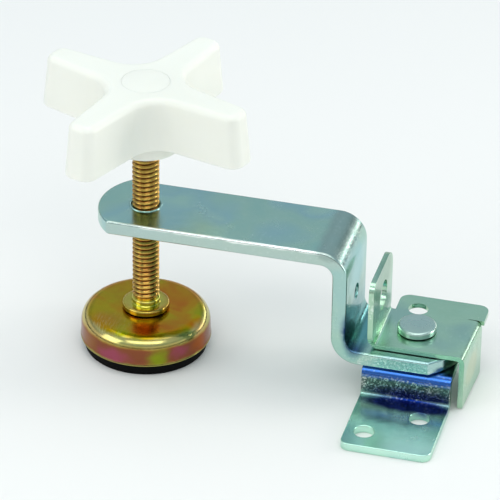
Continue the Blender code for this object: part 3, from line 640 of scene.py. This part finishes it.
# the side wall hung lower in the bath: a browner film there, with pink, green
# and orange patches; round the shoulder a pale cream band is a painted highlight
place = add_node(tree, "ShaderNodeTexCoord")
wandering = drift(tree, place, 0.6 * MM)
ragged = drift(tree, place, 1.8 * MM)
height = add_node(tree, "ShaderNodeSeparateXYZ", [("Vector", wandering, 0)])
top_film = shader.inputs["Base Color"].links[0].from_node
at_side = add_node(tree, "ShaderNodeMapRange", [("Value", height, "Z")],
                   interpolation_type="SMOOTHSTEP",
                   in_1=10.2 * MM, in_2=8.6 * MM, in_3=0.0, in_4=1.0)
colour = lay_over(tree, top_film, 2, at_side, "#8C5238")
for centre, radii, colouring, strength in [
        ((-94.4, 12.7, 6), (6, 6, 5), "#9A6432", 0.8),
        ((-86.3, 7.9, 6), (8, 5, 3.4), "#A8506A", 0.8),
        ((-72.3, 9.3, 6), (4.6, 4.6, 5), "#8A9624", 0.95),
        ((-66.9, 13.6, 7), (4.5, 4.5, 3), "#A04E60", 0.8),
        ((-63.1, 20.2, 7), (4, 5, 5), "#AE5A1C", 0.9),
        ((-90, 43, 6), (9, 6, 4), "#8A8A34", 0.8),
        ((-70, 43, 6), (8, 6, 4), "#A0505C", 0.7)]:
    colour = lay_over(tree, colour, 2, zone(tree, ragged, centre, radii, 0.8), colouring, strength)
# painted highlight: a pale cream band round the shoulder, below the flat top
shoulder_rise = add_node(tree, "ShaderNodeMapRange", [("Value", height, "Z")],
                  interpolation_type="SMOOTHSTEP",
                  in_1=8.8 * MM, in_2=10.4 * MM, in_3=0.0, in_4=1.0)
not_top = add_node(tree, "ShaderNodeMapRange", [("Value", height, "Z")],
                   interpolation_type="SMOOTHSTEP",
                   in_1=12.2 * MM, in_2=11.2 * MM, in_3=0.0, in_4=1.0)
painted_shoulder_highlight = add_node(tree, "ShaderNodeMath", [(0, shoulder_rise, 0), (1, not_top, 0)],
                         operation="MULTIPLY")
colour = lay_over(tree, colour, 2, painted_shoulder_highlight, "#CCC48C", 0.62)
at_rim = add_node(tree, "ShaderNodeMapRange", [("Value", height, "Z")], in_1=4.5 * MM, in_2=3.9 * MM,
                  in_3=0.0, in_4=1.0)
colour = lay_over(tree, colour, 2, at_rim, "#A6A45A", 0.8)
# fine scratches from handling on one part of the top, drawn 0.3 mm wide so that they show
scratched = zone(tree, ragged, (-89, 13.5, 11.5), (10, 8, 4), 0.8)
for angle in (25.0, -50.0):
    turned = add_node(tree, "ShaderNodeMapping", [("Vector", place, "Object")])
    turned.inputs["Rotation"].default_value = (0.0, 0.0, math.radians(angle))
    turned.inputs["Scale"].default_value = (1.0 / (0.3 * MM), 1.0 / (4 * MM), 1.0 / (4 * MM))
    streaks = add_node(tree, "ShaderNodeTexNoise", [("Vector", turned, 0)])
    streaks.inputs["Scale"].default_value = 1.0
    lines = add_node(tree, "ShaderNodeMapRange", [("Value", streaks, 0)],
                     in_1=0.6, in_2=0.7, in_3=0.0, in_4=1.0)
    scratches = add_node(tree, "ShaderNodeMath", [(0, scratched, 0), (1, lines, 0)],
                         operation="MULTIPLY")
    colour = lay_over(tree, colour, 2, scratches, "#E2CE9A", 0.5)
tree.links.new(colour.outputs[2], shader.inputs["Base Color"])
fit(foot_cup, "foot", "foot_cup", cup_chromate)

low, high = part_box("foot_retaining_washer")
inner_washer = turn_on("foot_retaining_washer_plain",
                       washer_profile(SHANK_HOLE, high.x - SPINDLE.x, low.z, high.z, WASHER_EDGE),
                       SPINDLE)
fit(inner_washer, "foot", "foot_retaining_washer", plain_steel)

# Foot pad -----------------------------------------------------------------------
# Moulded black rubber, pushed into the cup, with a lip under the cup's rim and
# shallow grip rings underneath.
PAD_PLUG = 16.9 * MM
PAD_LIP_TOP = 3.2 * MM
PAD_RECESS = (9.0 * MM, 5.6 * MM)   # radius and floor of the hollow on top
GRIP_RINGS = 5
GRIP_STEP = 2.6 * MM
GRIP_DEPTH = 0.4 * MM

low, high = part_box("foot_pad")
lip = (high.x - low.x) / 2.0
profile = [(0.0, PAD_RECESS[1]), PAD_RECESS, (PAD_RECESS[0], high.z),
           (PAD_PLUG - 0.7 * MM, high.z), (PAD_PLUG, high.z - 0.7 * MM), (PAD_PLUG, PAD_LIP_TOP)]
profile += arc((lip - 0.3 * MM, PAD_LIP_TOP - 0.3 * MM), 0.3 * MM, 90.0, 0.0, 4)
profile += arc((lip - 1.3 * MM, low.z + 0.7 * MM), 0.7 * MM, -10.0, -90.0, 6)
for ring in range(GRIP_RINGS):
    outer = 15.6 * MM - ring * GRIP_STEP
    profile += [(outer, low.z), (outer - 0.35 * MM, low.z + GRIP_DEPTH),
                (outer - 0.95 * MM, low.z + GRIP_DEPTH), (outer - 1.3 * MM, low.z)]
profile += [(0.0, low.z)]
foot_pad = turn_on("foot_pad_moulded", profile, SPINDLE)
rubber, tree, shader = new_material("moulded_black_rubber")
# matt moulded rubber: soft highlights, with dust caught in a fine mould grain
place = add_node(tree, "ShaderNodeTexCoord")
grain = add_node(tree, "ShaderNodeTexNoise", [("Vector", place, "Object")])
grain.inputs["Scale"].default_value = 1.0 / (0.5 * MM)
grain.inputs["Detail"].default_value = 4.0
blacks = ramp(tree, grain, [(0.35, "#020202"), (0.75, "#080808")])
tree.links.new(blacks.outputs[0], shader.inputs["Base Color"])
bump = add_node(tree, "ShaderNodeBump", [("Height", grain, "Fac")])
bump.inputs["Strength"].default_value = 0.3
bump.inputs["Distance"].default_value = 0.05 * MM
tree.links.new(bump.outputs[0], shader.inputs["Normal"])
shader.inputs["Roughness"].default_value = 0.75
shader.inputs["Specular IOR Level"].default_value = 0.1
fit(foot_pad, "foot", "foot_pad", rubber)

# Spindle ------------------------------------------------------------------------
# An 8 mm spindle with a rolled thread of 1.5 mm pitch.  The neck ring and the
# collar are turned in one with it, and its tail is swaged over behind the cup's
# washer.  Yellow-chromated zinc.
PITCH = 1.5 * MM
CREST = 3.95 * MM
ROOT = 3.1 * MM
THREAD_STEPS = 48                  # facets in one turn
THREAD_START = 15.9 * MM
COLLAR = 6.9 * MM
COLLAR_TOP = 14.7 * MM
COLLAR_BOTTOM = 12.8 * MM
COLLAR_EDGE = 0.65 * MM
NECK = 4.15 * MM
NECK_TOP = 16.4 * MM
TAIL = 3.2 * MM
SWAGE_DEPTH = 1.4 * MM

low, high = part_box("spindle")
profile = [(0.0, NECK_TOP + 1.2 * MM), (ROOT, NECK_TOP + 1.2 * MM),
           (CREST - 0.2 * MM, NECK_TOP + 0.7 * MM), (NECK - 0.5 * MM, NECK_TOP)]
profile += arc((NECK - 0.5 * MM, NECK_TOP - 0.5 * MM), 0.5 * MM, 80.0, 0.0, 5)
profile += [(NECK, COLLAR_TOP + 0.2 * MM), (NECK + 0.2 * MM, COLLAR_TOP),
            (COLLAR - 0.8 * MM, COLLAR_TOP)]
profile += arc((COLLAR - COLLAR_EDGE, COLLAR_TOP - COLLAR_EDGE), COLLAR_EDGE, 80.0, 0.0, 6)
profile += [(COLLAR, COLLAR_BOTTOM + 0.3 * MM), (COLLAR - 0.3 * MM, COLLAR_BOTTOM),
            (TAIL, COLLAR_BOTTOM), (TAIL, low.z + SWAGE_DEPTH), (4.6 * MM, low.z + SWAGE_DEPTH),
            (4.1 * MM, low.z), (0.0, low.z)]
spindle = turn_on("spindle_threaded", profile, SPINDLE)

# one pitch of the rolled thread: a round crest, 30 degree flanks and a round root
crest_half = 0.17 * MM
crest_low = PITCH / 2.0 - crest_half
crest_high = PITCH / 2.0 + crest_half
thread = [(ROOT, 0.0), (ROOT + 0.05 * MM, 0.17 * MM), (CREST - 0.1 * MM, crest_low - 0.06 * MM),
          (CREST, crest_low + 0.08 * MM), (CREST, crest_high - 0.08 * MM),
          (CREST - 0.1 * MM, crest_high + 0.06 * MM), (ROOT + 0.05 * MM, PITCH - 0.17 * MM),
          (ROOT, PITCH)]
turns = int((high.z - THREAD_START) / PITCH) - 1
rod = draw("thread", [(SPINDLE.x + r, SPINDLE.y, THREAD_START + z) for r, z in thread])
bpy.ops.object.mode_set(mode="OBJECT")
# the screw turns about the piece's own origin, so the profile is moved there and back
rod.data.transform(Matrix.Translation(-SPINDLE))
apply_modifier(rod, "SCREW", angle=math.tau, screw_offset=PITCH, iterations=turns, steps=THREAD_STEPS,
               render_steps=THREAD_STEPS, use_merge_vertices=True, merge_threshold=1e-6)
rod.data.transform(Matrix.Translation(SPINDLE))
bpy.ops.object.mode_set(mode="EDIT")
bpy.ops.mesh.select_all(action="SELECT")
bpy.ops.mesh.remove_doubles(threshold=1e-6)
bpy.ops.mesh.select_all(action="DESELECT")
bpy.ops.mesh.select_non_manifold()
bpy.ops.mesh.edge_face_add()
leave_edit()
bpy.ops.object.shade_smooth_by_angle(angle=math.radians(50.0))
join([spindle, rod])
# the patches: a pale painted highlight round the neck ring, and the olive-green film of the collar
spindle_chromate, tree, shader = yellow_chromate(
    "yellow_chromated_spindle",
    [(0.3, "#C8A856"), (0.5, "#C49C4E"), (0.7, "#B88444")],
    6 * MM, (0.16, 0.24),
    tints_and_painted_highlights=[((-81.1, 26.2, 15.6), (8, 8, 1.8), "#DCE870", 1.0),
             ((-81.1, 26.2, 13.6), (12, 12, 2.2), "#B0B440", 0.95)])
# painted shade: the thread's grooves are painted dark brown
place = add_node(tree, "ShaderNodeTexCoord")
about = add_node(tree, "ShaderNodeMapping", [("Vector", place, "Object")])
about.inputs["Location"].default_value = (-SPINDLE.x, -SPINDLE.y, 0.0)
about.inputs["Scale"].default_value = (1.0, 1.0, 0.0)
radius = add_node(tree, "ShaderNodeVectorMath", [(0, about, 0)], operation="LENGTH")
groove_shade = add_node(tree, "ShaderNodeMapRange", [("Value", radius, "Value")],
                  in_1=ROOT + 0.55 * MM, in_2=ROOT + 0.15 * MM, in_3=0.0, in_4=1.0)
colouring = shader.inputs["Base Color"].links[0].from_node
colour = lay_over(tree, colouring, 2, groove_shade, "#56280A", 0.95)
tree.links.new(colour.outputs[2], shader.inputs["Base Color"])
fit(spindle, "screw", "spindle", spindle_chromate)

# Knob ---------------------------------------------------------------------------
# Injection-moulded white polyamide with four tapered arms, soft edges and a hub
# boss underneath.  A disc snapped into the hub covers the steel insert that
# grips the spindle.
KNOB_TURN = math.radians(-19.0)
KNOB_ARM_BOTTOM = 71.4 * MM
KNOB_REACH = 34.5 * MM
KNOB_ROOT_HALF = 6.2 * MM
KNOB_TIP_HALF = 5.0 * MM
KNOB_DRAFT = 0.7 * MM              # the arms' sides lean in by this much
KNOB_TIP_DRAFT = 1.5 * MM          # and their tips by this much
KNOB_EDGE = 2.1 * MM               # rounding of the top edge
KNOB_CORNER = 3.9 * MM             # corners of an arm's tip, in plan
KNOB_FILLET = 9.0 * MM             # between neighbouring arms, in plan
KNOB_FOOT = 0.5 * MM               # rounding of the lower edge
HUB_RADIUS = 10.3 * MM
CAP_SEAT = 6.95 * MM
CAP_GAP = 0.02 * MM
CAP_EDGE = 0.1 * MM
CAP_DEPTH = 2.0 * MM
INSERT_BORE = 4.25 * MM
INSERT_SEAT = 6.3 * MM
INSERT_BOTTOM = 67.6 * MM
INSERT_TOP = 79.0 * MM
SEAT_GAP = 0.3 * MM


def knob_outline(inset, reach, height):
    """Plan outline of the knob, moved inwards by inset, as points at one height."""
    root, tip = KNOB_ROOT_HALF - inset, KNOB_TIP_HALF - inset
    corner, fillet = KNOB_CORNER - inset, KNOB_FILLET + inset
    valley = root + fillet
    quarter = arc((valley, -valley), fillet, 135.0, 92.0, 12)
    quarter += arc((reach - corner, corner - tip), corner, -88.0, 0.0, 10)
    quarter += arc((reach - corner, tip - corner), corner, 0.0, 88.0, 10)[1:]
    quarter += arc((valley, valley), fillet, -92.0, -135.0, 12)[:-1]
    points = []
    for arm in range(4):
        turn = KNOB_TURN + arm * math.pi / 2.0
        cosine, sine = math.cos(turn), math.sin(turn)
        points += [(SPINDLE.x + x * cosine - y * sine, SPINDLE.y + x * sine + y * cosine, height)
                   for x, y in quarter]
    return points


low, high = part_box("knob_body")
straight_top = high.z - KNOB_EDGE
levels = [(KNOB_FOOT, KNOB_REACH - KNOB_FOOT, KNOB_ARM_BOTTOM)]
for step in range(1, 4):
    angle = math.radians(30.0 * step)
    roll = KNOB_FOOT * (1.0 - math.sin(angle))
    levels.append((roll, KNOB_REACH - roll, KNOB_ARM_BOTTOM + KNOB_FOOT * (1.0 - math.cos(angle))))
for step in range(9):
    angle = math.radians(90.0 * step / 8)
    roll = KNOB_EDGE * (1.0 - math.cos(angle))
    levels.append((KNOB_DRAFT + roll, KNOB_REACH - KNOB_TIP_DRAFT - roll,
                   straight_top + KNOB_EDGE * math.sin(angle)))
rings = []
for inset, reach, height in levels:
    ring = draw("knob_body_moulded", knob_outline(inset, reach, height))
    bpy.ops.mesh.edge_face_add()
    bpy.ops.mesh.delete(type="ONLY_FACE")
    bpy.ops.object.mode_set(mode="OBJECT")
    rings.append(ring)
join(rings)
knob = rings[0]
bpy.ops.object.mode_set(mode="EDIT")
bpy.ops.mesh.select_all(action="SELECT")
bpy.ops.mesh.bridge_edge_loops(type="SINGLE")
bpy.ops.mesh.select_all(action="DESELECT")
bpy.ops.mesh.select_non_manifold()
bpy.ops.mesh.edge_face_add()
leave_edit()
hub = turn_on("hub", [(0.0, KNOB_ARM_BOTTOM + 3 * MM), (HUB_RADIUS + 0.5 * MM, KNOB_ARM_BOTTOM + 3 * MM)]
              + arc((HUB_RADIUS - 0.8 * MM, low.z + 0.8 * MM), 0.8 * MM, 0.0, -90.0, 6) + [(0.0, low.z)],
              SPINDLE)
combine(knob, hub, "UNION")
cap_floor = high.z - CAP_DEPTH - SEAT_GAP
seat_top = INSERT_TOP + 1.5 * MM
seat_bottom = INSERT_BOTTOM - SEAT_GAP
hollow = [(0.0, high.z + MM), (CAP_SEAT, high.z + MM), (CAP_SEAT, cap_floor),
          (INSERT_BORE, cap_floor), (INSERT_BORE, seat_top), (INSERT_SEAT, seat_top),
          (INSERT_SEAT, seat_bottom), (INSERT_BORE, seat_bottom), (INSERT_BORE, low.z - MM),
          (0.0, low.z - MM)]
combine(knob, turn_on("hollow", hollow, SPINDLE))
soften(knob, 0.12 * MM, segments=2, sharper_than=45.0)

white_plastic, tree, shader = new_material("moulded_white_polyamide")
# satin moulded nylon: light goes a little way in, and a fine spark texture from
# the mould spreads the highlight
place = add_node(tree, "ShaderNodeTexCoord")
tone = add_node(tree, "ShaderNodeTexNoise", [("Vector", place, "Object")])
tone.inputs["Scale"].default_value = 1.0 / (30 * MM)
whites = ramp(tree, tone, [(0.3, "#EDEDE3"), (0.7, "#F1F1E8")])
tree.links.new(whites.outputs[0], shader.inputs["Base Color"])
spark = add_node(tree, "ShaderNodeTexNoise", [("Vector", place, "Object")])
spark.inputs["Scale"].default_value = 1.0 / (0.4 * MM)
spark.inputs["Detail"].default_value = 2.0
bump = add_node(tree, "ShaderNodeBump", [("Height", spark, "Fac")])
bump.inputs["Strength"].default_value = 0.08
bump.inputs["Distance"].default_value = 0.03 * MM
tree.links.new(bump.outputs[0], shader.inputs["Normal"])
shader.inputs["Roughness"].default_value = 0.42
shader.inputs["IOR"].default_value = 1.53
shader.inputs["Subsurface Weight"].default_value = 0.25
shader.inputs["Subsurface Radius"].default_value = (1.0, 0.95, 0.85)
shader.inputs["Subsurface Scale"].default_value = 1.5 * MM
fit(knob, "screw", "knob_body", white_plastic)

low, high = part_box("knob_cap")
cap_radius = CAP_SEAT - CAP_GAP
profile = [(0.0, high.z)]
profile += arc((cap_radius - CAP_EDGE, high.z - CAP_EDGE), CAP_EDGE, 90.0, 0.0, 4)
profile += [(cap_radius, low.z), (0.0, low.z)]
cap = turn_on("knob_cap_disc", profile, SPINDLE)
fit(cap, "screw", "knob_cap", white_plastic)

low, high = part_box("knob_insert")
insert = turn_on("knob_insert_turned",
                 washer_profile(INSERT_BORE, high.x - SPINDLE.x, low.z, high.z, 0.3 * MM), SPINDLE)
fit(insert, "screw", "knob_insert", plain_steel)

# Floor, light and camera ----------------------------------------------------------
# A pale matt table in a light tent, with softboxes overhead, above the front and
# at the front left.  Two strips, at the right and far behind, give the steel edges
# their bright lines.
FLOOR_SIZE = 6.0
TARGET = Vector((-0.035, 0.02, 0.035))       # the softboxes face this point
WARM = (1.0, 0.97, 0.925)
CAMERA_PLACE = (0.17592, -0.84843, 0.58266)
CAMERA_AZIMUTH = math.radians(14.474)
CAMERA_ELEVATION = math.radians(31.135)
CAMERA_ROLL = math.radians(0.905)
CAMERA_LENS = 263.63               # millimetres, on a sensor 36 mm wide
SENSOR_WIDTH = 36.0

bpy.ops.object.select_all(action="DESELECT")
bpy.ops.mesh.primitive_plane_add(size=FLOOR_SIZE)
floor = bpy.context.object
floor.name = "floor"
table_top, tree, shader = new_material("matt_white_table")
shader.inputs["Base Color"].default_value = linear("#EFEDEA")
shader.inputs["Roughness"].default_value = 0.9
shader.inputs["Specular IOR Level"].default_value = 0.1
floor.data.materials.append(table_top)


def softbox(name, place, size, power):
    """A warm rectangular softbox that faces the foot, its power in watts."""
    light = bpy.data.lights.new(name, "AREA")
    light.shape = "RECTANGLE"
    light.size, light.size_y = size
    light.energy = power
    light.color = WARM
    lamp = bpy.data.objects.new(name, light)
    bpy.context.scene.collection.objects.link(lamp)
    lamp.location = place
    lamp.rotation_euler = (TARGET - Vector(place)).to_track_quat("-Z", "Y").to_euler()


softbox("overhead", (-0.05, 0.15, 0.9), (0.9, 0.6), 2.35)
softbox("front_top", (0.1, -0.62, 0.86), (1.0, 0.35), 2.7)
softbox("front_left", (-0.7, -0.5, 0.45), (0.5, 0.5), 1.75)
softbox("right_strip", (0.6, 0.2, 0.14), (0.14, 0.4), 1.5)
softbox("horizon_strip", (0.55, 0.9, 0.22), (1.0, 0.1), 1.0)

# the walls of the light tent: a white sweep behind the table, a darker gap above it,
# then the tent's grey side walls, brighter towards the top
world = bpy.data.worlds.new("light_tent")
world.use_nodes = True
bpy.context.scene.world = world
tent = world.node_tree
where = add_node(tent, "ShaderNodeTexCoord")
height = add_node(tent, "ShaderNodeSeparateXYZ", [("Vector", where, "Generated")])
walls = ramp(tent, height, [(0.0, "#20282C"), (0.09, "#20282C"), (0.13, "#F2F6F7"), (0.3, "#ECF2F3"),
                            (0.4, "#90A2A8"), (0.53, "#CADFEC"), (1.0, "#D0DCE4")])
tent.links.new(height.outputs["Z"], walls.inputs["Fac"])
tent.links.new(walls.outputs[0], tent.nodes["Background"].inputs["Color"])
tent.nodes["Background"].inputs["Strength"].default_value = 0.9
bpy.context.scene.view_settings.view_transform = "Standard"

camera_data = bpy.data.cameras.new("camera")
camera_data.sensor_width = SENSOR_WIDTH
camera_data.lens = CAMERA_LENS
camera_data.clip_start = 0.05
camera_data.clip_end = 20.0
camera = bpy.data.objects.new("camera", camera_data)
bpy.context.scene.collection.objects.link(camera)
camera.location = CAMERA_PLACE
forward = Vector((-math.sin(CAMERA_AZIMUTH) * math.cos(CAMERA_ELEVATION),
                  math.cos(CAMERA_AZIMUTH) * math.cos(CAMERA_ELEVATION),
                  -math.sin(CAMERA_ELEVATION)))
camera.rotation_mode = "QUATERNION"
level = forward.to_track_quat("-Z", "Y")
camera.rotation_quaternion = level @ Quaternion((0, 0, 1), CAMERA_ROLL)
bpy.context.scene.camera = camera
